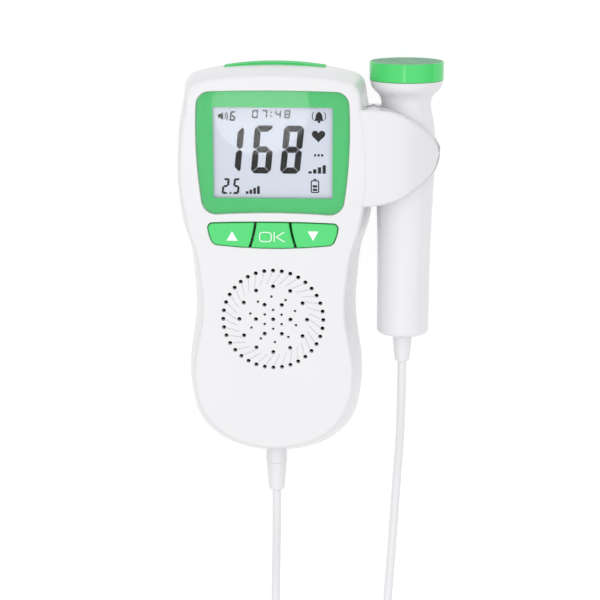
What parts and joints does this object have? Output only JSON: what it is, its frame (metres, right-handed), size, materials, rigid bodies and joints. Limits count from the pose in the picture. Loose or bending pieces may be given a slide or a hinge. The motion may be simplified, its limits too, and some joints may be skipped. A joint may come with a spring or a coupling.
{
  "type": "fetal doppler monitor",
  "caption": "Hand-held fetal doppler monitor: waisted white case with a display, a band of keys, a round speaker grille and a corded probe held in a side clip.",
  "frame": {"origin": "centre of the main unit's flat back, midway between crown and chin", "axes": "+X across the unit to the side with the probe, +Y along the unit from chin to crown, +Z out of the front face"},
  "size_m": [0.0923, 0.2577, 0.031],
  "materials": {
    "white_shell": "glossy white moulded ABS",
    "clear_window": "clear acrylic, polished",
    "green_border": "green printed film seen through the window",
    "green_key": "light green moulded plastic, satin gloss",
    "green_head": "green moulded plastic, glossy",
    "contact_face": "grey-green cast resin, satin",
    "display_glass": "pale grey liquid crystal glass",
    "light_box": "white diffusing plastic",
    "strip_rubber": "soft striped contact rubber",
    "board": "green glass-fibre board",
    "chip": "black moulded packages",
    "steel": "zinc plated steel",
    "key_rubber": "translucent silicone rubber",
    "switch": "black plastic switch",
    "speaker_cloth": "fine black cloth",
    "speaker_metal": "black stamped steel",
    "cone": "dark pressed cone",
    "magnet": "sintered magnet",
    "cell": "printed steel cell, plain",
    "spring": "nickel plated spring steel",
    "socket": "black plastic jack",
    "pin": "plated brass",
    "lead": "red insulated wire",
    "cord": "white flexible cord jacket, satin",
    "tie": "white strap",
    "crystal": "silvered ceramic",
    "backing": "grey cork-filled backing"
  },
  "bodies": {
    "main_unit": {"front_housing": "white_shell", "rear_housing": "white_shell", "display_window": "clear_window", "window_border": "green_border", "lcd_panel": "display_glass", "lcd_frame": "light_box", "lcd_strips": "strip_rubber", "main_pcb": "board", "circuit_chips": "chip", "pcb_screws": "steel", "keypad_membrane": "key_rubber", "power_switch": "switch", "speaker_cloth": "speaker_cloth", "speaker_frame": "speaker_metal", "speaker_cone": "cone", "speaker_magnet": "magnet", "speaker_lead": "lead", "batteries": "cell", "battery_springs": "spring", "battery_contacts": "spring", "housing_screws": "steel", "probe_socket": "socket", "socket_lead": "lead", "plug_pin": "pin", "plug_shell": "white_shell", "plug_boot": "cord", "cord_main": "cord", "cord_probe": "cord", "cord_coil": "cord", "cord_tie": "tie"},
    "probe": {"probe_shell_front": "white_shell", "probe_shell_rear": "white_shell", "probe_cap": "green_head", "probe_face": "contact_face", "crystals": "crystal", "crystal_backing": "backing", "probe_board": "board", "crystal_lead": "lead", "probe_boot": "cord", "probe_tail": "cord"},
    "up_key": {"key_up": "green_key"},
    "ok_key": {"key_ok": "green_key"},
    "down_key": {"key_down": "green_key"},
    "power_button": {"power_key": "green_head"},
    "door": {"battery_door": "white_shell"}
  },
  "joints": [
    {"name": "up_key_press", "type": "slide", "parent": "main_unit", "child": "up_key", "axis": [0, 0, -1], "range_m": [0, 0.0008], "stiffness_N_per_m": 900},
    {"name": "ok_key_press", "type": "slide", "parent": "main_unit", "child": "ok_key", "axis": [0, 0, -1], "range_m": [0, 0.0008], "stiffness_N_per_m": 900},
    {"name": "down_key_press", "type": "slide", "parent": "main_unit", "child": "down_key", "axis": [0, 0, -1], "range_m": [0, 0.0008], "stiffness_N_per_m": 900},
    {"name": "power_press", "type": "slide", "parent": "main_unit", "child": "power_button", "axis": [0, -1, 0], "range_m": [0, 0.001], "stiffness_N_per_m": 1500},
    {"name": "door_slide", "type": "slide", "parent": "main_unit", "child": "door", "axis": [0, -1, 0], "range_m": [0, 0.008]},
    {"name": "probe_slide", "type": "slide", "parent": "main_unit", "child": "probe", "axis": [0, 1, 0], "range_m": [0, 0.1]}
  ]
}
